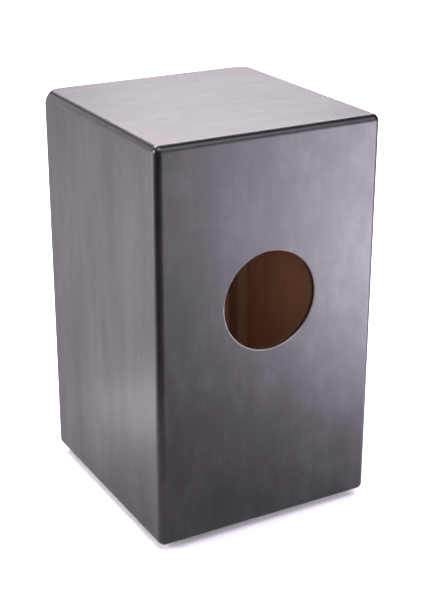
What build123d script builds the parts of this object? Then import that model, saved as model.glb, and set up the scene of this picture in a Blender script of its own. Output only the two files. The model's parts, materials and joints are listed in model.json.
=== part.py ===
from build123d import *
import os

os.makedirs("parts", exist_ok=True)

# A box drum that the player sits on. Millimetres, +Z up.
# Origin: middle of the footprint, on the floor. The thin playing face (tapa) is at -Y,
# the panel with the sound hole at +Y, and the width runs along X.

# ---------------------------------------------------------------- driving dimensions
WIDTH = 285.0  # X, over the side panels
DEPTH = 300.0  # Y, tapa face to back face
BOX_HEIGHT = 480.0  # Z, box alone
FOOT_H = 10.0  # rubber feet
PANEL_T = 12.0  # seat, bottom and sides
BACK_T = 6.0  # panel with the sound hole
TAPA_T = 3.0  # playing face
EDGE_R = 8.0  # round-over on the top and bottom edges
CORNER_R = 8.5  # round-over on the four upright edges
PLAY_CORNER_R = 28.0  # ball rounding of the two top corners on the playing side
PLAY_CORNER_OUT = 6.0  # that rounding is struck from faces this far outside the box
PLAY_CORNER_EASE = 8.0  # softening where it runs into the edges

HOLE_R = 59.0  # sound hole
HOLE_Z = 292.5
HOLE_ROUND_OUT = 1.5
HOLE_ROUND_IN = 0.8

FRONT_BATTEN_W = 14.0  # front frame, X or Z size of its section
FRONT_BATTEN_D = 25.0  # front frame, Y size of its section
BACK_BATTEN = 12.0  # back glue frame, square section

FOOT_TOP_D = 25.0
FOOT_TIP_D = 21.5
FOOT_INSET = 39.0  # foot centre from the outer faces

TAPA_SCREW_INSET = 19.0
TAPA_SCREW_L = 16.0
TAPA_SCREW_R = 1.6
TAPA_SCREW_HEAD_R = 3.2

STRING_X = 46.0  # middle of each string pair
STRING_PITCH = 10.0  # between the two strings of a pair
STRING_R = 0.4
PLATE_T = 1.6  # end plates that the strings are soldered in
PLATE_GAP = 0.3  # end plates off the tapa's inner face
BOLT_Y = -134.5
BOLT_R = 3.0  # M6 tuning bolt
RUN_FIT = 0.05  # radial running clearance

# ---------------------------------------------------------------- derived places
HALF_W, HALF_D = WIDTH / 2, DEPTH / 2
Z_LOW, Z_TOP = FOOT_H, FOOT_H + BOX_HEIGHT
Z_IN_LOW, Z_IN_TOP = Z_LOW + PANEL_T, Z_TOP - PANEL_T
X_IN = HALF_W - PANEL_T
Y_FRONT = -HALF_D + TAPA_T  # inner face of the tapa
Y_BACK = HALF_D - BACK_T  # inner face of the back panel
Y_FRAME = Y_FRONT + FRONT_BATTEN_D
X_FRAME = X_IN - FRONT_BATTEN_W


def save(built, name):
    built.part.label = name
    export_step(built.part, f"parts/{name}.step")


# ---------------------------------------------------------------- outer shape of the glued box
# Every outer panel is cut to this shape, as on a box that is routed and sanded after gluing.
# The two top corners beside the playing surface are sanded to a ball, so that they don't catch the hands.
with BuildPart() as playing_corners:
    with BuildSketch(Plane.XY.offset(-BOX_HEIGHT / 4)):
        with Locations((0, (DEPTH - PLAY_CORNER_OUT) / 2)):
            Rectangle(WIDTH + 2 * PLAY_CORNER_OUT, 2 * DEPTH + PLAY_CORNER_OUT)
    extrude(amount=BOX_HEIGHT / 4 + Z_TOP + PLAY_CORNER_OUT)
    ball_edges = playing_corners.edges().filter_by(Axis.Z).group_by(Axis.Y)[0]
    ball_edges += playing_corners.faces().sort_by(Axis.Z)[-1].edges().filter_by(Axis.Y)
    ball_edges += playing_corners.faces().sort_by(Axis.Z)[-1].edges().filter_by(Axis.X).sort_by(Axis.Y)[0:1]
    fillet(ball_edges, PLAY_CORNER_R)

with BuildPart() as envelope:
    with BuildSketch(Plane.XY.offset(Z_LOW)):
        RectangleRounded(WIDTH, DEPTH, CORNER_R)
    extrude(amount=BOX_HEIGHT)
    fillet(envelope.faces().sort_by(Axis.Z)[-1].edges(), EDGE_R)
    fillet(envelope.faces().sort_by(Axis.Z)[0].edges(), EDGE_R)
    add(playing_corners.part, mode=Mode.INTERSECT)
    fillet(envelope.faces().filter_by(GeomType.SPHERE).edges(), PLAY_CORNER_EASE)

# ---------------------------------------------------------------- box panels
foot_centres = [
    (sx * (HALF_W - FOOT_INSET), sy * (HALF_D - FOOT_INSET))
    for sx in (-1, 1)
    for sy in (-1, 1)
]

with BuildPart() as seat_panel:
    with BuildSketch(Plane.XY.offset(Z_IN_TOP)):
        with Locations((0, (Y_FRONT + Y_BACK) / 2)):
            Rectangle(WIDTH, Y_BACK - Y_FRONT)
    extrude(amount=PANEL_T)
    add(envelope.part, mode=Mode.INTERSECT)
save(seat_panel, "seat_panel")

# The bottom panel carries the four feet and lets the two tuning bolts through.
FOOT_PILOT_R, FOOT_PILOT_DEPTH = 2.05, 10.2
BUSH_R = 4.5
BUSH_HOLE_R = BUSH_R + 0.03
with BuildPart() as bottom_panel:
    with BuildSketch(Plane.XY.offset(Z_LOW)):
        with Locations((0, (Y_FRONT + Y_BACK) / 2)):
            Rectangle(WIDTH, Y_BACK - Y_FRONT)
    extrude(amount=PANEL_T)
    add(envelope.part, mode=Mode.INTERSECT)
    with BuildSketch(Plane.XY.offset(Z_LOW)):
        with Locations(*foot_centres):
            Circle(FOOT_PILOT_R)
    extrude(amount=FOOT_PILOT_DEPTH, mode=Mode.SUBTRACT)
    with BuildSketch(Plane.XY.offset(Z_LOW)):
        with Locations((-STRING_X, BOLT_Y), (STRING_X, BOLT_Y)):
            Circle(BUSH_HOLE_R)
    extrude(amount=PANEL_T, mode=Mode.SUBTRACT)
save(bottom_panel, "bottom_panel")

for side, sx in (("left", -1), ("right", 1)):
    with BuildPart() as side_panel:
        with BuildSketch(Plane.XY.offset(Z_IN_LOW)):
            with Locations((sx * (HALF_W - PANEL_T / 2), (Y_FRONT + Y_BACK) / 2)):
                Rectangle(PANEL_T, Y_BACK - Y_FRONT)
        extrude(amount=Z_IN_TOP - Z_IN_LOW)
        add(envelope.part, mode=Mode.INTERSECT)
    save(side_panel, f"{side}_side_panel")

# Plane.XZ faces -Y, so a positive amount goes towards the player's side.
with BuildPart() as back_panel:
    with BuildSketch(Plane.XZ.offset(-HALF_D)):
        with Locations((0, (Z_LOW + Z_TOP) / 2)):
            Rectangle(WIDTH, BOX_HEIGHT)
    extrude(amount=BACK_T)
    add(envelope.part, mode=Mode.INTERSECT)
    with BuildSketch(Plane.XZ.offset(-HALF_D)):
        with Locations((0, HOLE_Z)):
            Circle(HOLE_R)
    extrude(amount=BACK_T, mode=Mode.SUBTRACT)
    hole_rims = back_panel.edges().filter_by(GeomType.CIRCLE)
    hole_rims = hole_rims.filter_by(lambda e: abs(e.radius - HOLE_R) < 1e-6)
    outer_rim = hole_rims.sort_by(Axis.Y)[-1]
    fillet(outer_rim, HOLE_ROUND_OUT)
    hole_rims = back_panel.edges().filter_by(GeomType.CIRCLE)
    hole_rims = hole_rims.filter_by(lambda e: abs(e.radius - HOLE_R) < 1e-6)
    inner_rim = hole_rims.sort_by(Axis.Y)[0]
    fillet(inner_rim, HOLE_ROUND_IN)
save(back_panel, "back_panel")

# ---------------------------------------------------------------- tapa and its screws
col_x = HALF_W - TAPA_SCREW_INSET
row_low, row_top = Z_LOW + TAPA_SCREW_INSET, Z_TOP - TAPA_SCREW_INSET
col_z = [row_low + i * (row_top - row_low) / 5 for i in range(6)]
screw_places = [(sx * col_x, z) for sx in (-1, 1) for z in col_z]
screw_places += [(x, z) for x in (-col_x / 2, 0.0, col_x / 2) for z in (row_low, row_top)]

with BuildPart() as tapa:
    with BuildSketch(Plane.XZ.offset(-Y_FRONT)):
        with Locations((0, (Z_LOW + Z_TOP) / 2)):
            Rectangle(WIDTH, BOX_HEIGHT)
    extrude(amount=TAPA_T)
    add(envelope.part, mode=Mode.INTERSECT)
    with Locations(Plane.XZ.offset(HALF_D)):
        with Locations(*screw_places):
            CounterSinkHole(
                radius=TAPA_SCREW_R + 0.15,
                counter_sink_radius=TAPA_SCREW_HEAD_R + 0.3,
                depth=TAPA_T,
                counter_sink_angle=90,
            )
save(tapa, "tapa")

# Countersunk cross-recess wood screws, heads 0.05 mm under the tapa's face.
with BuildPart() as tapa_screws:
    for x, z in screw_places:
        y0 = -HALF_D + 0.05
        with BuildSketch(Plane(origin=(x, y0, z), x_dir=(1, 0, 0), z_dir=(0, 0, 1))):
            with BuildLine():
                Polyline(
                    (0, 0),
                    (TAPA_SCREW_HEAD_R, 0),
                    (TAPA_SCREW_HEAD_R, 0.15),
                    (TAPA_SCREW_R, TAPA_SCREW_HEAD_R - TAPA_SCREW_R + 0.15),
                    (TAPA_SCREW_R, TAPA_SCREW_L - 3.0),
                    (0.2, TAPA_SCREW_L),
                    (0, TAPA_SCREW_L),
                    close=True,
                )
            make_face()
        revolve(axis=Axis((x, y0, z), (0, 1, 0)))
    with BuildSketch(Plane.XZ.offset(HALF_D)):
        with Locations(*screw_places):
            Rectangle(3.3, 0.75)
            Rectangle(0.75, 3.3)
    extrude(amount=-1.15, mode=Mode.SUBTRACT)
save(tapa_screws, "tapa_screws")

# ---------------------------------------------------------------- front frame behind the tapa
PILOT_R = TAPA_SCREW_R + 0.05
PILOT_DEPTH = TAPA_SCREW_L - TAPA_T + 0.5
for side, sx in (("left", -1), ("right", 1)):
    with BuildPart() as front_batten:
        with BuildSketch(Plane.XY.offset(Z_IN_LOW)):
            with Locations((sx * (X_IN - FRONT_BATTEN_W / 2), (Y_FRONT + Y_FRAME) / 2)):
                Rectangle(FRONT_BATTEN_W, FRONT_BATTEN_D)
        extrude(amount=Z_IN_TOP - Z_IN_LOW)
        # the free inner edge is eased
        free_edge = front_batten.edges().filter_by(Axis.Z)
        free_edge = free_edge.sort_by(Axis.Y)[-2:].sort_by(Axis.X)[0 if sx > 0 else -1]
        fillet(free_edge, 1.5)
        with BuildSketch(Plane.XZ.offset(-Y_FRONT)):
            with Locations(*[(sx * col_x, z) for z in col_z]):
                Circle(PILOT_R)
        extrude(amount=-PILOT_DEPTH, mode=Mode.SUBTRACT)
    save(front_batten, f"front_batten_{side}")

ANCHOR_SCREWS_X = (STRING_X - 8.0, STRING_X + 8.0)
ANCHOR_SCREW_Y = -130.0
GUIDE_SCREWS_X = (STRING_X - 9.0, STRING_X + 9.0)
GUIDE_SCREW_Y = -128.5
SMALL_SCREW_R = 1.5
SMALL_SCREW_L = 12.0

with BuildPart() as front_rail_top:
    with BuildSketch(Plane.XY.offset(Z_IN_TOP - FRONT_BATTEN_W)):
        with Locations((0, (Y_FRONT + Y_FRAME) / 2)):
            Rectangle(2 * X_FRAME, FRONT_BATTEN_D)
    extrude(amount=FRONT_BATTEN_W)
    fillet(front_rail_top.edges().filter_by(Axis.X).sort_by(Axis.Y)[-2:].sort_by(Axis.Z)[0], 1.5)
    with BuildSketch(Plane.XZ.offset(-Y_FRONT)):
        with Locations(*[(x, row_top) for x in (-col_x / 2, 0.0, col_x / 2)]):
            Circle(PILOT_R)
    extrude(amount=-PILOT_DEPTH, mode=Mode.SUBTRACT)
    with BuildSketch(Plane.XY.offset(Z_IN_TOP - FRONT_BATTEN_W)):
        with Locations(*[(sx * x, ANCHOR_SCREW_Y) for sx in (-1, 1) for x in ANCHOR_SCREWS_X]):
            Circle(SMALL_SCREW_R + 0.05)
    extrude(amount=SMALL_SCREW_L - 1.5, mode=Mode.SUBTRACT)
save(front_rail_top, "front_rail_top")

with BuildPart() as front_rail_bottom:
    with BuildSketch(Plane.XY.offset(Z_IN_LOW)):
        with Locations((0, (Y_FRONT + Y_FRAME) / 2)):
            Rectangle(2 * X_FRAME, FRONT_BATTEN_D)
    extrude(amount=FRONT_BATTEN_W)
    fillet(front_rail_bottom.edges().filter_by(Axis.X).sort_by(Axis.Y)[-2:].sort_by(Axis.Z)[-1], 1.5)
    with BuildSketch(Plane.XZ.offset(-Y_FRONT)):
        with Locations(*[(x, row_low) for x in (-col_x / 2, 0.0, col_x / 2)]):
            Circle(PILOT_R)
    extrude(amount=-PILOT_DEPTH, mode=Mode.SUBTRACT)
    with BuildSketch(Plane.XY.offset(Z_IN_LOW)):
        with Locations((-STRING_X, BOLT_Y), (STRING_X, BOLT_Y)):
            Circle(BUSH_HOLE_R)
    extrude(amount=FRONT_BATTEN_W, mode=Mode.SUBTRACT)
    with BuildSketch(Plane.XY.offset(Z_IN_LOW + FRONT_BATTEN_W)):
        with Locations(*[(sx * x, GUIDE_SCREW_Y) for sx in (-1, 1) for x in GUIDE_SCREWS_X]):
            Circle(SMALL_SCREW_R + 0.05)
    extrude(amount=-(SMALL_SCREW_L - 1.0), mode=Mode.SUBTRACT)
save(front_rail_bottom, "front_rail_bottom")

# ---------------------------------------------------------------- back glue frame
for side, sx in (("left", -1), ("right", 1)):
    with BuildPart() as back_batten:
        with BuildSketch(Plane.XY.offset(Z_IN_LOW)):
            with Locations((sx * (X_IN - BACK_BATTEN / 2), Y_BACK - BACK_BATTEN / 2)):
                Rectangle(BACK_BATTEN, BACK_BATTEN)
        extrude(amount=Z_IN_TOP - Z_IN_LOW)
        free_edge = back_batten.edges().filter_by(Axis.Z)
        free_edge = free_edge.sort_by(Axis.Y)[:2].sort_by(Axis.X)[0 if sx > 0 else -1]
        chamfer(free_edge, 4.0)
    save(back_batten, f"back_batten_{side}")

for end, z0, pick in (("top", Z_IN_TOP - BACK_BATTEN, 0), ("bottom", Z_IN_LOW, -1)):
    with BuildPart() as back_rail:
        with BuildSketch(Plane.XY.offset(z0)):
            with Locations((0, Y_BACK - BACK_BATTEN / 2)):
                Rectangle(2 * (X_IN - BACK_BATTEN), BACK_BATTEN)
        extrude(amount=BACK_BATTEN)
        chamfer(back_rail.edges().filter_by(Axis.X).sort_by(Axis.Y)[:2].sort_by(Axis.Z)[pick], 4.0)
    save(back_rail, f"back_rail_{end}")

# ---------------------------------------------------------------- feet
FOOT_WEB = 5.0
for (name, sx, sy) in (
    ("foot_front_left", -1, -1),
    ("foot_front_right", 1, -1),
    ("foot_rear_left", -1, 1),
    ("foot_rear_right", 1, 1),
):
    cx, cy = sx * (HALF_W - FOOT_INSET), sy * (HALF_D - FOOT_INSET)
    with BuildPart() as foot:
        with BuildSketch(Plane(origin=(cx, cy, 0), x_dir=(1, 0, 0), z_dir=(0, -1, 0))):
            with BuildLine():
                Polyline(
                    (6.3, 0),
                    (FOOT_TIP_D / 2, 0),
                    (FOOT_TOP_D / 2, FOOT_H - 1.5),
                    (FOOT_TOP_D / 2, FOOT_H),
                    (2.3, FOOT_H),
                    (2.3, FOOT_H - FOOT_WEB),
                    (6.3, FOOT_H - FOOT_WEB),
                    close=True,
                )
            make_face()
        revolve(axis=Axis((cx, cy, 0), (0, 0, 1)))
        tip = foot.edges().filter_by(GeomType.CIRCLE).group_by(Axis.Z)[0]
        fillet(tip.sort_by(SortBy.RADIUS)[-1], 1.2)
        fillet(foot.edges().filter_by(GeomType.CIRCLE).group_by(Axis.Z)[0].sort_by(SortBy.RADIUS)[0], 0.5)
    save(foot, name)

with BuildPart() as foot_washers:
    with BuildSketch(Plane.XY.offset(FOOT_H - FOOT_WEB - 1.0)):
        with Locations(*foot_centres):
            Circle(5.6)
            Circle(2.2, mode=Mode.SUBTRACT)
    extrude(amount=1.0)
save(foot_washers, "foot_washers")

# Pan-head wood screws, 4 x 16, up through washer and foot into the bottom panel.
with BuildPart() as foot_screws:
    z_head = FOOT_H - FOOT_WEB - 1.0
    for cx, cy in foot_centres:
        with BuildSketch(Plane(origin=(cx, cy, z_head), x_dir=(1, 0, 0), z_dir=(0, -1, 0))):
            with BuildLine():
                Polyline((0, 16.0), (0, -2.5), (2.6, -2.5))
                ThreePointArc((2.6, -2.5), (3.65, -1.95), (4.0, -0.8))
                Polyline((4.0, -0.8), (4.0, 0), (2.0, 0), (2.0, 13.0), (0.25, 16.0), (0, 16.0))
            make_face()
        revolve(axis=Axis((cx, cy, 0), (0, 0, 1)))
    with BuildSketch(Plane.XY.offset(z_head - 2.5)):
        with Locations(*foot_centres):
            Rectangle(4.0, 0.9)
            Rectangle(0.9, 4.0)
    extrude(amount=1.4, mode=Mode.SUBTRACT)
save(foot_screws, "foot_screws")

# ---------------------------------------------------------------- string snare, top anchors
Y_PLATE_FRONT = Y_FRONT + PLATE_GAP
Y_PLATE_REAR = Y_PLATE_FRONT + PLATE_T
STRING_Y = (Y_PLATE_FRONT + Y_PLATE_REAR) / 2
ANCHOR_T = 2.0
ANCHOR_W = 26.0
Z_RAIL_UNDER = Z_IN_TOP - FRONT_BATTEN_W
ANCHOR_LOW = Z_RAIL_UNDER - 22.0
UPPER_PLATE_LOW, UPPER_PLATE_TOP = 440.0, 456.0
UPPER_SCREW_Z = 449.0
SOLDER_DEPTH = 4.0

for side, sx in (("left", -1), ("right", 1)):
    xc = sx * STRING_X
    # steel angle under the top rail
    with BuildPart() as string_anchor:
        with BuildSketch(Plane.YZ.offset(xc - ANCHOR_W / 2)):
            with BuildLine():
                Polyline(
                    (Y_PLATE_REAR, ANCHOR_LOW),
                    (Y_PLATE_REAR, Z_RAIL_UNDER),
                    (-124.0, Z_RAIL_UNDER),
                    (-124.0, Z_RAIL_UNDER - ANCHOR_T),
                    (Y_PLATE_REAR + ANCHOR_T, Z_RAIL_UNDER - ANCHOR_T),
                    (Y_PLATE_REAR + ANCHOR_T, ANCHOR_LOW),
                    close=True,
                )
            make_face()
        extrude(amount=ANCHOR_W)
        bends = string_anchor.edges().filter_by(Axis.X)
        inner_bend = bends.filter_by(
            lambda e: abs(e.center().Y - (Y_PLATE_REAR + ANCHOR_T)) < 1e-3
            and abs(e.center().Z - (Z_RAIL_UNDER - ANCHOR_T)) < 1e-3
        )
        fillet(inner_bend, 1.0)
        outer_bend = string_anchor.edges().filter_by(Axis.X).filter_by(
            lambda e: abs(e.center().Y - Y_PLATE_REAR) < 1e-3 and abs(e.center().Z - Z_RAIL_UNDER) < 1e-3
        )
        fillet(outer_bend, 2.5)
        fillet(string_anchor.edges().filter_by(Axis.Y).group_by(Axis.Z)[0], 2.0)
        fillet(string_anchor.edges().filter_by(Axis.Z).group_by(Axis.Y)[-1], 2.0)
        with BuildSketch(Plane.XY.offset(Z_RAIL_UNDER)):
            with Locations(*[(sx * x, ANCHOR_SCREW_Y) for x in ANCHOR_SCREWS_X]):
                Circle(SMALL_SCREW_R + 0.2)
        extrude(amount=-ANCHOR_T, mode=Mode.SUBTRACT)
        with BuildSketch(Plane.XZ.offset(-Y_PLATE_REAR)):
            with Locations((xc, UPPER_SCREW_Z)):
                Circle(SMALL_SCREW_R + RUN_FIT)
        extrude(amount=-ANCHOR_T, mode=Mode.SUBTRACT)
    save(string_anchor, f"string_anchor_{side}")

    # plate that the upper ends of the two strings are soldered in
    with BuildPart() as upper_end_plate:
        with BuildSketch(Plane.XZ.offset(-Y_PLATE_FRONT)):
            with Locations((xc, (UPPER_PLATE_LOW + UPPER_PLATE_TOP) / 2)):
                RectangleRounded(18.0, UPPER_PLATE_TOP - UPPER_PLATE_LOW, 1.5)
        extrude(amount=-PLATE_T)
        with Locations(Plane.XZ.offset(-Y_PLATE_FRONT)):
            with Locations((xc, UPPER_SCREW_Z)):
                CounterSinkHole(SMALL_SCREW_R + 0.15, 2.85, depth=PLATE_T, counter_sink_angle=90)
        with BuildSketch(Plane.XY.offset(UPPER_PLATE_LOW)):
            with Locations((xc - STRING_PITCH / 2, STRING_Y), (xc + STRING_PITCH / 2, STRING_Y)):
                Circle(STRING_R + RUN_FIT)
        extrude(amount=SOLDER_DEPTH, mode=Mode.SUBTRACT)
    save(upper_end_plate, f"upper_end_plate_{side}")

# wood screws up through the anchors into the top rail
with BuildPart() as anchor_screws:
    z_seat = Z_RAIL_UNDER - ANCHOR_T
    places = [(sx * x, ANCHOR_SCREW_Y) for sx in (-1, 1) for x in ANCHOR_SCREWS_X]
    for x, y in places:
        with BuildSketch(Plane(origin=(x, y, z_seat), x_dir=(1, 0, 0), z_dir=(0, -1, 0))):
            with BuildLine():
                Polyline((0, SMALL_SCREW_L), (0, -2.0), (1.9, -2.0))
                ThreePointArc((1.9, -2.0), (2.65, -1.55), (2.9, -0.7))
                Polyline(
                    (2.9, -0.7),
                    (2.9, 0),
                    (SMALL_SCREW_R, 0),
                    (SMALL_SCREW_R, SMALL_SCREW_L - 2.5),
                    (0.2, SMALL_SCREW_L),
                    (0, SMALL_SCREW_L),
                )
            make_face()
        revolve(axis=Axis((x, y, 0), (0, 0, 1)))
    with BuildSketch(Plane.XY.offset(z_seat - 2.0)):
        with Locations(*places):
            Rectangle(3.0, 0.7)
            Rectangle(0.7, 3.0)
    extrude(amount=1.1, mode=Mode.SUBTRACT)
save(anchor_screws, "anchor_screws")


# Countersunk M3 x 8 screw that holds one end plate, its head flush with the plate.
def plate_screw(x, z, length):
    y0 = Y_PLATE_FRONT + 0.05
    with BuildPart() as screw:
        with BuildSketch(Plane(origin=(x, y0, z), x_dir=(1, 0, 0), z_dir=(0, 0, 1))):
            with BuildLine():
                Polyline(
                    (0, 0),
                    (2.7, 0),
                    (SMALL_SCREW_R, 2.7 - SMALL_SCREW_R),
                    (SMALL_SCREW_R, length - 0.4),
                    (SMALL_SCREW_R - 0.4, length),
                    (0, length),
                    close=True,
                )
            make_face()
        revolve(axis=Axis((x, y0, z), (0, 1, 0)))
        with BuildSketch(Plane.XZ.offset(-y0)):
            with Locations((x, z)):
                Rectangle(2.8, 0.6)
                Rectangle(0.6, 2.8)
        extrude(amount=-0.9, mode=Mode.SUBTRACT)
    return screw


for side, sx in (("left", -1), ("right", 1)):
    save(plate_screw(sx * STRING_X, UPPER_SCREW_Z, 5.0), f"upper_plate_screw_{side}")

# ---------------------------------------------------------------- string snare, tensioners
CARR_LOW, CARR_TOP = 46.0, 60.0
CARR_W = 24.0
CARR_REAR = -126.0
LOWER_PLATE_LOW, LOWER_PLATE_TOP = 46.0, 62.0
LOWER_SCREW_Z = 52.5
GUIDE_T = 1.5
GUIDE_CLEAR = 0.4
GUIDE_FRONT, GUIDE_REAR = -144.5, -124.5
GUIDE_TOP = 70.0
Z_RAIL_OVER = Z_IN_LOW + FRONT_BATTEN_W
FLANGE_T, FLANGE_R = 1.5, 9.0
HEAD_R, HEAD_H = 5.0, 4.0
HEX_AF, HEX_DEPTH = 4.0, 2.4
BOLT_TOP = 68.0
CLIP_LOW, CLIP_T, CLIP_R = Z_RAIL_OVER + GUIDE_T + 0.3, 1.0, 6.0
HEAD_TOP = Z_LOW - FLANGE_T - 0.1

for side, sx in (("left", -1), ("right", 1)):
    xc = sx * STRING_X

    # flanged bush through bottom panel and rail, in which the bolt turns
    with BuildPart() as tuner_bush:
        with BuildSketch(Plane.XY.offset(Z_LOW - FLANGE_T)):
            with Locations((xc, BOLT_Y)):
                Circle(FLANGE_R)
        extrude(amount=FLANGE_T)
        chamfer(tuner_bush.edges().group_by(Axis.Z)[0], 0.4)
        with BuildSketch(Plane.XY.offset(Z_LOW)):
            with Locations((xc, BOLT_Y)):
                Circle(BUSH_R)
        extrude(amount=Z_RAIL_OVER - Z_LOW)
        with BuildSketch(Plane.XY.offset(Z_LOW - FLANGE_T)):
            with Locations((xc, BOLT_Y)):
                Circle(BOLT_R + RUN_FIT)
        extrude(amount=Z_RAIL_OVER - Z_LOW + FLANGE_T, mode=Mode.SUBTRACT)
    save(tuner_bush, f"tuner_bush_{side}")

    # M6 low-head cap screw, hex socket downwards
    with BuildPart() as tuning_bolt:
        with BuildSketch(Plane.XY.offset(HEAD_TOP - HEAD_H)):
            with Locations((xc, BOLT_Y)):
                Circle(HEAD_R)
        extrude(amount=HEAD_H)
        fillet(tuning_bolt.edges().group_by(Axis.Z)[0], 0.5)
        with BuildSketch(Plane.XY.offset(HEAD_TOP)):
            with Locations((xc, BOLT_Y)):
                Circle(BOLT_R)
        extrude(amount=BOLT_TOP - HEAD_TOP)
        chamfer(tuning_bolt.edges().group_by(Axis.Z)[-1], 0.7)
        with BuildSketch(Plane.XY.offset(HEAD_TOP - HEAD_H)):
            with Locations((xc, BOLT_Y)):
                RegularPolygon(HEX_AF / 2, 6, major_radius=False)
        extrude(amount=HEX_DEPTH, mode=Mode.SUBTRACT)
    save(tuning_bolt, f"tuning_bolt_{side}")

    # push-on washer that keeps the bolt from dropping out when the strings are slack
    with BuildPart() as bolt_clip:
        with BuildSketch(Plane.XY.offset(CLIP_LOW)):
            with Locations((xc, BOLT_Y)):
                Circle(CLIP_R)
                Circle(BOLT_R + 0.02, mode=Mode.SUBTRACT)
        extrude(amount=CLIP_T)
    save(bolt_clip, f"bolt_clip_{side}")

    # U-shaped guide on the bottom rail, which keeps the carriage from turning
    with BuildPart() as carriage_guide:
        half_in = CARR_W / 2 + GUIDE_CLEAR
        half_out = half_in + GUIDE_T
        with BuildSketch(Plane.XZ.offset(-GUIDE_FRONT)):
            with BuildLine():
                Polyline(
                    (xc - half_out, Z_RAIL_OVER),
                    (xc + half_out, Z_RAIL_OVER),
                    (xc + half_out, GUIDE_TOP),
                    (xc + half_in, GUIDE_TOP),
                    (xc + half_in, Z_RAIL_OVER + GUIDE_T),
                    (xc - half_in, Z_RAIL_OVER + GUIDE_T),
                    (xc - half_in, GUIDE_TOP),
                    (xc - half_out, GUIDE_TOP),
                    close=True,
                )
            make_face()
        extrude(amount=-(GUIDE_REAR - GUIDE_FRONT))
        bends = carriage_guide.edges().filter_by(Axis.Y)
        fillet(bends.group_by(Axis.Z)[0], 2.2)
        inner_bends = carriage_guide.edges().filter_by(Axis.Y).filter_by(
            lambda e: abs(e.center().Z - (Z_RAIL_OVER + GUIDE_T)) < 1e-3
        )
        fillet(inner_bends, 0.7)
        ears = carriage_guide.edges().filter_by(Axis.X).group_by(Axis.Z)[-1]
        fillet(ears, 4.0)
        with BuildSketch(Plane.XY.offset(Z_RAIL_OVER)):
            with Locations((xc, BOLT_Y)):
                Circle(BOLT_R + 0.5)
            with Locations(*[(sx * x, GUIDE_SCREW_Y) for x in GUIDE_SCREWS_X]):
                Circle(SMALL_SCREW_R + 0.2)
        extrude(amount=GUIDE_T, mode=Mode.SUBTRACT)
    save(carriage_guide, f"carriage_guide_{side}")

    # steel block that the bolt pulls down
    with BuildPart() as tension_carriage:
        with BuildSketch(Plane.XY.offset(CARR_LOW)):
            with Locations((xc, (Y_PLATE_REAR + CARR_REAR) / 2)):
                Rectangle(CARR_W, CARR_REAR - Y_PLATE_REAR)
        extrude(amount=CARR_TOP - CARR_LOW)
        chamfer(tension_carriage.edges().filter_by(Axis.Z), 0.8)
        with BuildSketch(Plane.XY.offset(CARR_LOW)):
            with Locations((xc, BOLT_Y)):
                Circle(BOLT_R + RUN_FIT)
        extrude(amount=CARR_TOP - CARR_LOW, mode=Mode.SUBTRACT)
        with BuildSketch(Plane.XZ.offset(-Y_PLATE_REAR)):
            with Locations((xc, LOWER_SCREW_Z)):
                Circle(SMALL_SCREW_R + RUN_FIT)
        extrude(amount=-6.9, mode=Mode.SUBTRACT)
    save(tension_carriage, f"tension_carriage_{side}")

    # plate that the lower ends of the two strings are soldered in
    with BuildPart() as lower_end_plate:
        with BuildSketch(Plane.XZ.offset(-Y_PLATE_FRONT)):
            with Locations((xc, (LOWER_PLATE_LOW + LOWER_PLATE_TOP) / 2)):
                RectangleRounded(18.0, LOWER_PLATE_TOP - LOWER_PLATE_LOW, 1.5)
        extrude(amount=-PLATE_T)
        with Locations(Plane.XZ.offset(-Y_PLATE_FRONT)):
            with Locations((xc, LOWER_SCREW_Z)):
                CounterSinkHole(SMALL_SCREW_R + 0.15, 2.85, depth=PLATE_T, counter_sink_angle=90)
        with BuildSketch(Plane.XY.offset(LOWER_PLATE_TOP)):
            with Locations((xc - STRING_PITCH / 2, STRING_Y), (xc + STRING_PITCH / 2, STRING_Y)):
                Circle(STRING_R + RUN_FIT)
        extrude(amount=-SOLDER_DEPTH, mode=Mode.SUBTRACT)
    save(lower_end_plate, f"lower_end_plate_{side}")

    save(plate_screw(xc, LOWER_SCREW_Z, 8.0), f"lower_plate_screw_{side}")

    # the two snare strings, straight between the end plates
    string_low = LOWER_PLATE_TOP - SOLDER_DEPTH + 0.1
    string_top = UPPER_PLATE_LOW + SOLDER_DEPTH - 0.1
    with BuildPart() as strings:
        with BuildSketch(Plane.XY.offset(string_low)):
            with Locations((xc - STRING_PITCH / 2, STRING_Y), (xc + STRING_PITCH / 2, STRING_Y)):
                Circle(STRING_R)
        extrude(amount=string_top - string_low)
    save(strings, f"strings_{side}")

# wood screws down through the guides into the bottom rail
with BuildPart() as guide_screws:
    z_seat = Z_RAIL_OVER + GUIDE_T
    places = [(sx * x, GUIDE_SCREW_Y) for sx in (-1, 1) for x in GUIDE_SCREWS_X]
    for x, y in places:
        with BuildSketch(Plane(origin=(x, y, z_seat), x_dir=(1, 0, 0), z_dir=(0, -1, 0))):
            with BuildLine():
                Polyline((0, -SMALL_SCREW_L), (0, 2.0), (1.9, 2.0))
                ThreePointArc((1.9, 2.0), (2.65, 1.55), (2.9, 0.7))
                Polyline(
                    (2.9, 0.7),
                    (2.9, 0),
                    (SMALL_SCREW_R, 0),
                    (SMALL_SCREW_R, -SMALL_SCREW_L + 2.5),
                    (0.2, -SMALL_SCREW_L),
                    (0, -SMALL_SCREW_L),
                )
            make_face()
        revolve(axis=Axis((x, y, 0), (0, 0, 1)))
    with BuildSketch(Plane.XY.offset(z_seat + 2.0)):
        with Locations(*places):
            Rectangle(3.0, 0.7)
            Rectangle(0.7, 3.0)
    extrude(amount=-1.1, mode=Mode.SUBTRACT)
save(guide_screws, "guide_screws")
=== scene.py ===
import json
import math

import bmesh
import bpy
import numpy as np
from mathutils import Matrix, Vector

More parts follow.
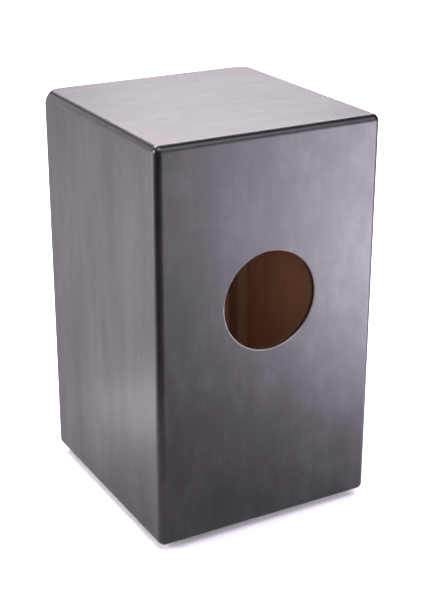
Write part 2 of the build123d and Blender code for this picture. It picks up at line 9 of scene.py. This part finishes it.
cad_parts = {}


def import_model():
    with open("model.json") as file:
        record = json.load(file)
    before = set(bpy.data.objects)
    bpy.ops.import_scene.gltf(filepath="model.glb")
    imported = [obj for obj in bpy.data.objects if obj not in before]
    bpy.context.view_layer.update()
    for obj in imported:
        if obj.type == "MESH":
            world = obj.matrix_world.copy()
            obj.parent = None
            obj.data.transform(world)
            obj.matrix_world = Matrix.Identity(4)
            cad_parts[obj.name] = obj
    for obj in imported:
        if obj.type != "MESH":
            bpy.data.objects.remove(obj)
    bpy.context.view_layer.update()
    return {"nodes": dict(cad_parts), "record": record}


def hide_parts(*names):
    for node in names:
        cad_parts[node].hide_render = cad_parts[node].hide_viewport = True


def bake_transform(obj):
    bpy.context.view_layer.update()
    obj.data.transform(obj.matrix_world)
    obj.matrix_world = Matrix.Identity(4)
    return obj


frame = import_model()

NODES = frame["nodes"]

# ------------------------------------------------------------------ the box, in metres
HALF_W, HALF_D = 0.1425, 0.150
Z_LOW, Z_TOP = 0.010, 0.490
PANEL, BACK_T, TAPA_T = 0.012, 0.006, 0.003
X_IN = HALF_W - PANEL
Y_FRONT, Y_BACK = -HALF_D + TAPA_T, HALF_D - BACK_T
Z_IN_LOW, Z_IN_TOP = Z_LOW + PANEL, Z_TOP - PANEL
HOLE_R, HOLE_Z = 0.059, 0.2925


# ------------------------------------------------------------------ node helpers
class Tree:
    """A small wrapper around one material's node tree."""

    def __init__(self, name):
        self.mat = bpy.data.materials.new(name)
        self.mat.use_nodes = True
        self.nt = self.mat.node_tree
        self.nt.nodes.clear()
        self.out = self.nt.nodes.new("ShaderNodeOutputMaterial")
        self.bsdf = self.nt.nodes.new("ShaderNodeBsdfPrincipled")
        self.nt.links.new(self.bsdf.outputs[0], self.out.inputs[0])
        self._coord = None

    def link(self, a, b):
        self.nt.links.new(a, b)

    def put(self, socket, value):
        if isinstance(value, (int, float)):
            socket.default_value = value
        elif isinstance(value, (tuple, list)):
            if len(value) == 3 and len(socket.default_value) == 4:
                value = (*value, 1.0)
            socket.default_value = value
        else:
            self.link(value, socket)

    def coord(self):
        if self._coord is None:
            n = self.nt.nodes.new("ShaderNodeTexCoord")
            self._coord = n.outputs["Object"]
        return self._coord

    def normal(self):
        return self.nt.nodes.new("ShaderNodeNewGeometry").outputs["Normal"]

    def split(self, vec):
        n = self.nt.nodes.new("ShaderNodeSeparateXYZ")
        self.link(vec, n.inputs[0])
        return n.outputs[0], n.outputs[1], n.outputs[2]

    def join(self, x, y, z):
        n = self.nt.nodes.new("ShaderNodeCombineXYZ")
        for s, v in zip(n.inputs, (x, y, z)):
            self.put(s, v)
        return n.outputs[0]

    def math(self, op, a, b=0.0, c=0.0, clamp=False):
        n = self.nt.nodes.new("ShaderNodeMath")
        n.operation = op
        n.use_clamp = clamp
        self.put(n.inputs[0], a)
        self.put(n.inputs[1], b)
        self.put(n.inputs[2], c)
        return n.outputs[0]

    def scaled(self, vec, s, offset=(0.0, 0.0, 0.0)):
        n = self.nt.nodes.new("ShaderNodeMapping")
        n.vector_type = "POINT"
        self.link(vec, n.inputs["Vector"])
        n.inputs["Scale"].default_value = s
        n.inputs["Location"].default_value = offset
        return n.outputs[0]

    def noise(self, vec, scale=1.0, detail=3.0, rough=0.5, distortion=0.0):
        n = self.nt.nodes.new("ShaderNodeTexNoise")
        self.link(vec, n.inputs["Vector"])
        n.inputs["Scale"].default_value = scale
        n.inputs["Detail"].default_value = detail
        n.inputs["Roughness"].default_value = rough
        n.inputs["Distortion"].default_value = distortion
        return n.outputs["Fac"]

    def remap(self, v, a, b, c, d, smooth=False):
        n = self.nt.nodes.new("ShaderNodeMapRange")
        n.interpolation_type = "SMOOTHSTEP" if smooth else "LINEAR"
        n.clamp = True
        self.put(n.inputs["Value"], v)
        for k, val in (("From Min", a), ("From Max", b), ("To Min", c), ("To Max", d)):
            n.inputs[k].default_value = val
        return n.outputs["Result"]

    def mix(self, fac, a, b):
        n = self.nt.nodes.new("ShaderNodeMix")
        n.data_type = "RGBA"
        self.put(n.inputs[0], fac)
        self.put(n.inputs[6], a)
        self.put(n.inputs[7], b)
        return n.outputs[2]

    def ramp(self, fac, stops):
        n = self.nt.nodes.new("ShaderNodeValToRGB")
        self.link(fac, n.inputs[0])
        e = n.color_ramp.elements
        e[0].position, e[0].color = stops[0][0], (*stops[0][1], 1.0)
        e[1].position, e[1].color = stops[1][0], (*stops[1][1], 1.0)
        for p, col in stops[2:]:
            x = e.new(p)
            x.color = (*col, 1.0)
        return n.outputs[0]

    def bump(self, height, strength, distance, normal=None):
        n = self.nt.nodes.new("ShaderNodeBump")
        n.inputs["Strength"].default_value = strength
        n.inputs["Distance"].default_value = distance
        self.link(height, n.inputs["Height"])
        if normal is not None:
            self.link(normal, n.inputs["Normal"])
        return n.outputs[0]

    def set(self, **kw):
        names = dict(
            color="Base Color", rough="Roughness", metal="Metallic", normal="Normal",
            coat="Coat Weight", coat_rough="Coat Roughness", coat_ior="Coat IOR",
            spec="Specular IOR Level", ior="IOR", aniso="Anisotropic",
            sheen="Sheen Weight", sheen_rough="Sheen Roughness", coat_normal="Coat Normal",
        )
        for k, v in kw.items():
            self.put(self.bsdf.inputs[names[k]], v)
        return self.mat


def grain_coords(t, along, seed=0.0):
    """Object coordinates with the grain direction last: (across, depth, along)."""
    x, y, z = t.split(t.coord())
    if along == "z":
        v = t.join(x, y, z)
    elif along == "x":
        v = t.join(y, z, x)
    else:
        v = t.join(x, z, y)
    return t.scaled(v, (1.0, 1.0, 1.0), (seed, seed * 1.7, seed * 0.6))


def inside_mask(t):
    """1 on the bare inner faces of the glued box, 0 on everything that was stained outside."""
    x, y, z = t.split(t.coord())
    e = 0.0003
    d = t.math("MINIMUM", t.math("SUBTRACT", X_IN + e, t.math("ABSOLUTE", x)),
               t.math("MINIMUM", t.math("SUBTRACT", y, Y_FRONT - e), t.math("SUBTRACT", Y_BACK + 0.0009, y)))
    d = t.math("MINIMUM", d, t.math("MINIMUM", t.math("SUBTRACT", z, Z_IN_LOW - e), t.math("SUBTRACT", Z_IN_TOP + e, z)))
    return t.math("GREATER_THAN", d, 0.0)


# ------------------------------------------------------------------ materials
STAIN = (0.0126, 0.0116, 0.0128)
STAIN_LIGHT = (0.0272, 0.0258, 0.0274)
STAIN_DARK = (0.0046, 0.0041, 0.0048)


def stained_ply(name, along="z", seed=0.0, weights=(0.34, 0.36, 0.18, 0.12), inside=True, rim=False):
    """Anthracite stain that took unevenly over a rubbed-down grain, under thin satin lacquer; bare wood inside.

    weights: long figure, mottling, slow patches, hairline grain."""
    t = Tree(name)
    g = grain_coords(t, along, seed)
    fine = t.noise(t.scaled(g, (430.0, 430.0, 15.0)), 1.0, 3.0, 0.55)
    figure = t.noise(t.scaled(g, (26.0, 26.0, 3.6)), 1.0, 3.0, 0.60, 0.15)
    cloud = t.noise(t.scaled(g, (62.0, 62.0, 34.0)), 1.0, 5.0, 0.66, 0.12)
    patch = t.noise(t.scaled(g, (15.0, 15.0, 8.0)), 1.0, 2.0, 0.5)
    pores = t.noise(t.scaled(g, (1500.0, 1500.0, 70.0)), 1.0, 1.0, 0.4)
    pore = t.remap(pores, 0.62, 0.72, 0.0, 1.0, smooth=True)
    streak = t.math("ADD", t.math("ADD", t.math("MULTIPLY", figure, weights[0]), t.math("MULTIPLY", cloud, weights[1])),
                    t.math("ADD", t.math("MULTIPLY", patch, weights[2]), t.math("MULTIPLY", fine, weights[3])))
    tone = t.remap(streak, 0.385, 0.615, 0.0, 1.0)
    colour = t.ramp(tone, [(0.0, STAIN_DARK), (0.5, STAIN), (1.0, STAIN_LIGHT)])
    colour = t.mix(t.math("MULTIPLY", pore, 0.4), colour, STAIN_DARK)
    # rounded edges are mixed toward STAIN_DARK: partly extra stain soaked into the routed edges, partly painted shade
    # for the dark band the rounded edges show
    nx, ny, nz = t.split(t.normal())
    flat = t.math("MAXIMUM", t.math("ABSOLUTE", nx), t.math("MAXIMUM", t.math("ABSOLUTE", ny), t.math("ABSOLUTE", nz)))
    edge = t.remap(flat, 0.80, 0.995, 1.0, 0.0, smooth=True)
    colour = t.mix(t.math("MULTIPLY", edge, 0.6), colour, STAIN_DARK)
    rough = t.remap(streak, 0.38, 0.62, ROUGH + 0.025, ROUGH - 0.025)
    rough = t.math("SUBTRACT", rough, t.math("MULTIPLY", edge, ROUGH_EDGE_DROP))
    height = t.math("SUBTRACT", t.math("MULTIPLY", fine, 0.35), t.math("MULTIPLY", pore, 0.3))
    wave = t.bump(cloud, 1.0, 0.00007)
    normal = t.bump(height, 0.3, 0.00010, wave)
    if rim:
        # the routed lip of the sound hole is paler: partly rubbed through to the wood, partly a painted highlight for
        # the thin bright line the round-over catches
        x, y, z = t.split(t.coord())
        dz = t.math("SUBTRACT", z, HOLE_Z)
        r = t.math("SQRT", t.math("ADD", t.math("MULTIPLY", x, x), t.math("MULTIPLY", dz, dz)))
        lip = t.math("MULTIPLY", t.remap(r, HOLE_R + 0.0010, HOLE_R + 0.0016, 1.0, 0.0, smooth=True),
                     t.remap(y, HALF_D - 0.0013, HALF_D - 0.0008, 0.0, 1.0, smooth=True))
        lip_wear_and_highlight = t.remap(cloud, 0.35, 0.62, 0.55, 1.0)
        colour = t.mix(t.math("MULTIPLY", lip, lip_wear_and_highlight), colour, RIM_WEAR_AND_HIGHLIGHT)
    if inside:
        m = inside_mask(t)
        gi = grain_coords(t, along, seed + 3.1)
        w = inner_tone(t, gi)
        colour = t.mix(m, colour, w)
        rough = t.math("ADD", t.math("MULTIPLY", rough, t.math("SUBTRACT", 1.0, m)), t.math("MULTIPLY", m, 0.62))
    t.set(color=colour, rough=rough, normal=normal, spec=0.5)
    return t.mat


INNER_A, INNER_B, INNER_C = (0.42, 0.212, 0.122), (0.36, 0.176, 0.098), (0.475, 0.248, 0.147)


def inner_tone(t, g, a=INNER_A, b=INNER_B, c=INNER_C):
    """Bare reddish-brown timber: long figure, darker pore lines."""
    figure = t.noise(t.scaled(g, (30.0, 30.0, 3.0)), 1.0, 3.0, 0.5, 0.3)
    lines = t.noise(t.scaled(g, (700.0, 700.0, 22.0)), 1.0, 3.0, 0.5)
    v = t.math("ADD", t.math("MULTIPLY", figure, 0.45), t.math("MULTIPLY", lines, 0.55))
    return t.ramp(t.remap(v, 0.30, 0.70, 0.0, 1.0), [(0.0, b), (0.55, a), (1.0, c)])


def inner_wood(name, along="z", seed=0.0, a=(0.30, 0.165, 0.098), b=(0.25, 0.135, 0.079), c=(0.345, 0.196, 0.120)):
    t = Tree(name)
    g = grain_coords(t, along, seed)
    colour = inner_tone(t, g, a, b, c)
    pores = t.noise(t.scaled(g, (900.0, 900.0, 45.0)), 1.0, 2.0, 0.4)
    h = t.math("SUBTRACT", 1.0, t.remap(pores, 0.6, 0.72, 0.0, 1.0, smooth=True))
    return t.set(color=colour, rough=t.remap(pores, 0.3, 0.7, 0.55, 0.68), normal=t.bump(h, 0.4, 0.0002), spec=0.4)


def metal(name, colour, camera_side_shade, rough, scale=900.0, coat=0.0):
    t = Tree(name)
    g = t.coord()
    n = t.noise(t.scaled(g, (scale, scale, scale)), 1.0, 3.0, 0.6)
    n2 = t.noise(t.scaled(g, (120.0, 120.0, 120.0)), 1.0, 3.0, 0.6)
    v = t.math("ADD", t.math("MULTIPLY", n, 0.5), t.math("MULTIPLY", n2, 0.5))
    col = t.ramp(t.remap(v, 0.35, 0.65, 0.0, 1.0), [(0.0, camera_side_shade), (1.0, colour)])
    t.set(color=col, metal=1.0, rough=t.remap(v, 0.35, 0.65, rough + 0.08, rough - 0.06), normal=t.bump(n, 0.25, 0.00004))
    if coat:
        t.set(coat=coat)
    return t.mat


def rubber(name):
    t = Tree(name)
    g = t.coord()
    n = t.noise(t.scaled(g, (700.0, 700.0, 700.0)), 1.0, 4.0, 0.6)
    dust = t.noise(t.scaled(g, (90.0, 90.0, 90.0)), 1.0, 3.0, 0.5)
    col = t.ramp(t.remap(dust, 0.35, 0.7, 0.0, 1.0), [(0.0, (0.012, 0.012, 0.0125)), (1.0, (0.024, 0.0235, 0.023))])
    return t.set(color=col, rough=t.remap(n, 0.3, 0.7, 0.62, 0.78), normal=t.bump(n, 0.4, 0.00015), spec=0.4)


ROUGH = 0.40
ROUGH_EDGE_DROP = 0.10
# paler colour of the sound-hole lip: worn wood and a painted highlight
RIM_WEAR_AND_HIGHLIGHT = (0.200, 0.160, 0.150)

PLY_V = stained_ply("stained_ply_vertical", "z", 0.0)
PLY_V2 = stained_ply("stained_ply_vertical_b", "z", 5.3, (0.56, 0.22, 0.14, 0.08))
PLY_BACK = stained_ply("stained_ply_back", "z", 11.7, (0.20, 0.44, 0.26, 0.10), rim=True)
PLY_SEAT = stained_ply("stained_ply_seat", "x", 2.1)
PLY_BOTTOM = stained_ply("stained_ply_bottom", "x", 7.9)
TAPA = stained_ply("tapa_veneer", "z", 17.3)
BATTEN_V = inner_wood("batten_vertical", "z", 1.3)
BATTEN_H = inner_wood("batten_horizontal", "x", 4.4)
ZINC = metal("zinc_plate", (0.66, 0.67, 0.68), (0.47, 0.48, 0.50), 0.30)
BRASS = metal("brass_plain", (0.80, 0.60, 0.28), (0.60, 0.42, 0.17), 0.28)
BLACK = metal("black_oxide", (0.075, 0.075, 0.080), (0.035, 0.035, 0.038), 0.42)
WIRE = metal("drawn_wire", (0.72, 0.72, 0.73), (0.50, 0.50, 0.52), 0.22)
RUBBER = rubber("black_rubber")

FINISH = {
    "left_side_panel": PLY_V, "right_side_panel": PLY_V2, "back_panel": PLY_BACK, "seat_panel": PLY_SEAT,
    "bottom_panel": PLY_BOTTOM, "tapa": TAPA, "tapa_screws": BLACK,
    "front_batten_left": BATTEN_V, "front_batten_right": BATTEN_V,
    "front_rail_top": BATTEN_H, "front_rail_bottom": BATTEN_H,
    "back_batten_left": BATTEN_V, "back_batten_right": BATTEN_V,
    "back_rail_top": BATTEN_H, "back_rail_bottom": BATTEN_H,
}
for name, node in NODES.items():
    slot = {s["node"]: s["material_slot"] for s in frame["record"]["subparts"]}[name]
    mat = FINISH.get(name) or {
        "foot_rubber": RUBBER, "zinc_steel": ZINC, "brass": BRASS, "bolt_steel": BLACK,
        "string_steel": WIRE, "black_screw": BLACK,
    }[slot]
    if not node.material_slots:
        node.data.materials.append(mat)
    for s in node.material_slots:
        s.material = mat


# ------------------------------------------------------------------ snare strings
def new_mesh(name, verts, faces, mat, smooth=True):
    me = bpy.data.meshes.new(name)
    me.from_pydata(verts, [], faces)
    me.update()
    ob = bpy.data.objects.new(name, me)
    bpy.context.scene.collection.objects.link(ob)
    me.materials.append(mat)
    if smooth:
        me.polygons.foreach_set("use_smooth", [True] * len(me.polygons))
    return ob


def string_piece(name, xs, y, z0, z1, core, wrap_r, pitch, mat):
    """Steel core with a fine wound wrap, one closed tube per string, slightly ribbed."""
    verts, faces = [], []
    n = 10
    rings = int((z1 - z0) / (pitch / 4.0))
    for x in xs:
        base = len(verts)
        for i in range(rings + 1):
            z = z0 + (z1 - z0) * i / rings
            for k in range(n):
                a = 2 * math.pi * k / n
                rib = wrap_r * (0.5 + 0.5 * math.cos(2 * math.pi * (z - z0) / pitch - a))
                r = core + rib
                verts.append((x + r * math.cos(a), y + r * math.sin(a), z))
        for i in range(rings):
            for k in range(n):
                a, b = base + i * n + k, base + i * n + (k + 1) % n
                faces.append((a, b, b + n, a + n))
        faces.append(tuple(base + k for k in reversed(range(n))))
        faces.append(tuple(base + rings * n + k for k in range(n)))
    return new_mesh(name, verts, faces, mat)


STRING_Y = -0.1459
for side, sx in (("left", -1.0), ("right", 1.0)):
    xs = [sx * 0.046 - 0.005, sx * 0.046 + 0.005]
    ob = string_piece(f"snare_strings_{side}", xs, STRING_Y, 0.0582, 0.4438, 0.00031, 0.00009, 0.0009, WIRE)
    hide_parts(f"strings_{side}")
    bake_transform(ob)

# ------------------------------------------------------------------ camera
CAM = (0.73787, 1.34215, 0.86271, 29.02647, 22.12552, 0.00934, 1341.17609)


def photo_camera():
    """Camera of the view: position, direction and lens in the row frame."""
    a, b, c = math.radians(CAM[3]), math.radians(CAM[4]), math.radians(CAM[5])
    loc = Vector(CAM[:3])
    fwd = Vector((-math.sin(a) * math.cos(b), -math.cos(a) * math.cos(b), -math.sin(b)))
    right = Vector((-math.cos(a), math.sin(a), 0.0))
    up = right.cross(fwd)
    r2 = right * math.cos(c) + up * math.sin(c)
    u2 = -right * math.sin(c) + up * math.cos(c)
    cam = bpy.data.cameras.new("camera")
    cam.sensor_fit = "AUTO"
    cam.sensor_width = 36.0
    cam.lens = CAM[6] / 600.0 * 36.0
    cam.clip_start, cam.clip_end = 0.05, 100.0
    cam.dof.use_dof = False
    ob = bpy.data.objects.new("camera", cam)
    bpy.context.scene.collection.objects.link(ob)
    m = Matrix((r2, u2, -fwd)).transposed().to_4x4()
    m.translation = loc
    ob.matrix_world = m
    bpy.context.scene.camera = ob
    return ob


photo_camera()

# ------------------------------------------------------------------ floor and light
# The studio is a white table under softboxes. The camera sees the white table top; the lacquer reflects a greyer,
# shaded copy of the table that turns near-black towards the camera side: painted shade standing in for the dark camera
# side of a real studio.
def tint(red, blue):
    """Light colour as red and blue against green."""
    return (red, 1.0, blue)


TINT = tint(1.10, 1.15)


def floors():
    t = Tree("table_top")
    n = t.noise(t.scaled(t.coord(), (3.0, 3.0, 3.0)), 1.0, 3.0, 0.5)
    t.set(color=t.ramp(n, [(0.3, (0.86, 0.86, 0.86)), (0.7, (0.88, 0.88, 0.88))]), rough=0.9, spec=0.1)
    x, y, z = t.split(t.coord())
    # painted light: the camera-only table top glows by emission, faint (TABLE_GLOW_NEAR) out to 0.22 m and rising to
    # TABLE_GLOW_FAR by 0.75 m, so it reads lit white with darker ground round the base
    reach = t.math("SQRT", t.math("ADD", t.math("MULTIPLY", x, x), t.math("MULTIPLY", y, y)))
    glow = t.remap(reach, 0.22, 0.75, TABLE_GLOW_NEAR, TABLE_GLOW_FAR, smooth=True)
    t.put(t.bsdf.inputs["Emission Color"], t.join(glow, glow, glow))
    t.bsdf.inputs["Emission Strength"].default_value = 1.0
    r, k = 2.6, 96
    ring = [(r * math.cos(2 * math.pi * i / k), r * math.sin(2 * math.pi * i / k), 0.0) for i in range(k)]
    top = new_mesh("table_top", ring, [tuple(range(k))], t.mat, smooth=False)
    top.visible_diffuse = top.visible_glossy = top.visible_transmission = top.visible_shadow = False

    t = Tree("shaded_table_copy")
    x, y, z = t.split(t.coord())
    dx = t.math("MAXIMUM", t.math("SUBTRACT", t.math("ABSOLUTE", x), HALF_W), 0.0)
    dy = t.math("MAXIMUM", t.math("SUBTRACT", t.math("ABSOLUTE", y), HALF_D), 0.0)
    away = t.math("SQRT", t.math("ADD", t.math("MULTIPLY", dx, dx), t.math("MULTIPLY", dy, dy)))
    far = t.remap(away, 0.28, 0.48, 0.0, 1.0, smooth=True)
    turn = t.math("ARCTAN2", t.math("SUBTRACT", y, 0.1), t.math("SUBTRACT", x, 0.1))
    off = t.math("ABSOLUTE", t.math("SUBTRACT", turn, math.radians(52.0)))
    sector = t.remap(off, math.radians(40.0), math.radians(60.0), 1.0, 0.0, smooth=True)
    camera_side_shade = t.math("MULTIPLY", far, sector)
    # painted shade: grey 0.5 turning near-black 0.004 beyond 0.28-0.48 m in the sector towards the camera
    t.set(color=t.mix(camera_side_shade, (0.5, 0.5, 0.5), (0.004, 0.004, 0.004)), rough=0.95, spec=0.0)
    s = 5.0
    sheet = new_mesh("shaded_table_copy", [(-s, -s, -0.0004), (s, -s, -0.0004), (s, s, -0.0004), (-s, s, -0.0004)],
                     [(0, 1, 2, 3)], t.mat, smooth=False)
    sheet.visible_camera = False


TABLE_GLOW_NEAR, TABLE_GLOW_FAR = 0.10, 0.93
HOLE_LIGHT = 4.7
floors()


def softbox(name, centre, normal, size, radiance, colour=TINT):
    l = bpy.data.lights.new(name, "AREA")
    l.shape = "RECTANGLE"
    l.size, l.size_y = size
    l.energy = math.pi * size[0] * size[1] * radiance
    l.color = colour
    ob = bpy.data.objects.new(name, l)
    bpy.context.scene.collection.objects.link(ob)
    ob.rotation_mode = "QUATERNION"
    ob.rotation_quaternion = Vector(normal).to_track_quat("-Z", "Y")
    ob.location = centre
    ob.visible_camera = False
    return ob


def standing(name, azimuth, distance, z0, z1, width, radiance, colour=TINT):
    """A softbox upright on the table, facing the box."""
    a = math.radians(azimuth)
    d = Vector((math.cos(a), math.sin(a), 0.0))
    return softbox(name, d * distance + Vector((0, 0, (z0 + z1) / 2)), -d, (width, z1 - z0), radiance, colour)


def raised(name, azimuth, elevation, distance, size, radiance, colour=TINT):
    """A softbox on a boom, facing the middle of the box."""
    a, e = math.radians(azimuth), math.radians(elevation)
    d = Vector((math.cos(a) * math.cos(e), math.sin(a) * math.cos(e), math.sin(e)))
    return softbox(name, Vector((0, 0, 0.25)) + d * distance, -d, size, radiance, colour)


def table_light(name, x, y, size, radiance, colour=TINT):
    """A lit panel let into the white table, facing up."""
    return softbox(name, (x, y, 0.004), (0.0, 0.0, 1.0), (size, size), radiance, colour)


standing("low_box_left_a", 285, 1.0, 0.01, 0.40, 0.45, 0.88, tint(1.05, 1.06))
standing("high_box_left_a", 300, 1.0, 0.40, 0.90, 0.45, 1.68, tint(1.12, 1.12))
standing("low_box_left_b", 330, 1.0, 0.01, 0.40, 0.45, 5.38, tint(1.10, 1.145))
standing("high_box_left_b", 0, 1.0, 0.40, 0.90, 0.45, 14.60, tint(1.10, 1.14))
standing("low_box_right_a", 120, 1.0, 0.01, 0.40, 0.45, 2.08, tint(1.06, 1.155))
standing("low_box_right_b", 135, 1.0, 0.01, 0.40, 0.45, 13.20, tint(1.08, 1.17))
standing("high_box_rear", 240, 1.0, 0.40, 0.90, 0.45, 0.86, tint(1.05, 1.05))
raised("boom_right", 120, 40, 2.6, (1.5, 1.2), 3.19, tint(1.05, 1.18))
raised("boom_rear", 240, 40, 2.6, (1.5, 1.2), 8.66, tint(1.10, 1.09))
raised("overhead_near", 72, 58, 2.6, (1.5, 1.2), 8.52, tint(1.06, 1.14))
raised("overhead_rear", 288, 58, 2.6, (1.5, 1.2), 13.79, tint(1.12, 1.13))
table_light("table_light_right_a", -0.3889, 0.4389, 0.24, 4.60, tint(1.11, 1.20))
table_light("table_light_right_b", -0.6010, 0.6510, 0.36, 13.40, tint(1.10, 1.17))
table_light("table_light_left", 0.3618, -0.1800, 0.16, 4.24, tint(1.12, 1.10))
# one box beside the camera is flagged off the outside, so that it only reaches in through the sound hole
hole_light = raised("hole_light", 66, 22, 2.4, (2.0, 1.8), HOLE_LIGHT, tint(1.066, 1.092))
hole_light.visible_glossy = False
inside = bpy.data.collections.new("inside_pieces")
for name in ("left_side_panel", "tapa", "bottom_panel", "front_batten_left", "front_batten_right", "front_rail_top",
             "front_rail_bottom", "back_batten_left", "back_rail_bottom"):
    inside.objects.link(NODES[name])
hole_light.light_linking.receiver_collection = inside


def world(camera_level, room_level, colour=(1.0, 1.0, 1.0)):
    w = bpy.data.worlds.new("studio")
    w.use_nodes = True
    bpy.context.scene.world = w
    nt = w.node_tree
    nt.nodes.clear()
    out = nt.nodes.new("ShaderNodeOutputWorld")
    mix = nt.nodes.new("ShaderNodeMixShader")
    seen, room = nt.nodes.new("ShaderNodeBackground"), nt.nodes.new("ShaderNodeBackground")
    path = nt.nodes.new("ShaderNodeLightPath")
    seen.inputs[0].default_value, seen.inputs[1].default_value = (1, 1, 1, 1), camera_level
    room.inputs[0].default_value, room.inputs[1].default_value = (*colour, 1), room_level
    nt.links.new(path.outputs["Is Camera Ray"], mix.inputs[0])
    nt.links.new(room.outputs[0], mix.inputs[1])
    nt.links.new(seen.outputs[0], mix.inputs[2])
    nt.links.new(mix.outputs[0], out.inputs[0])


world(1.1, 0.02)

sc = bpy.context.scene
sc.view_settings.view_transform = "Standard"
sc.view_settings.look = "None"
sc.view_settings.exposure = 0.0
sc.view_settings.gamma = 1.0
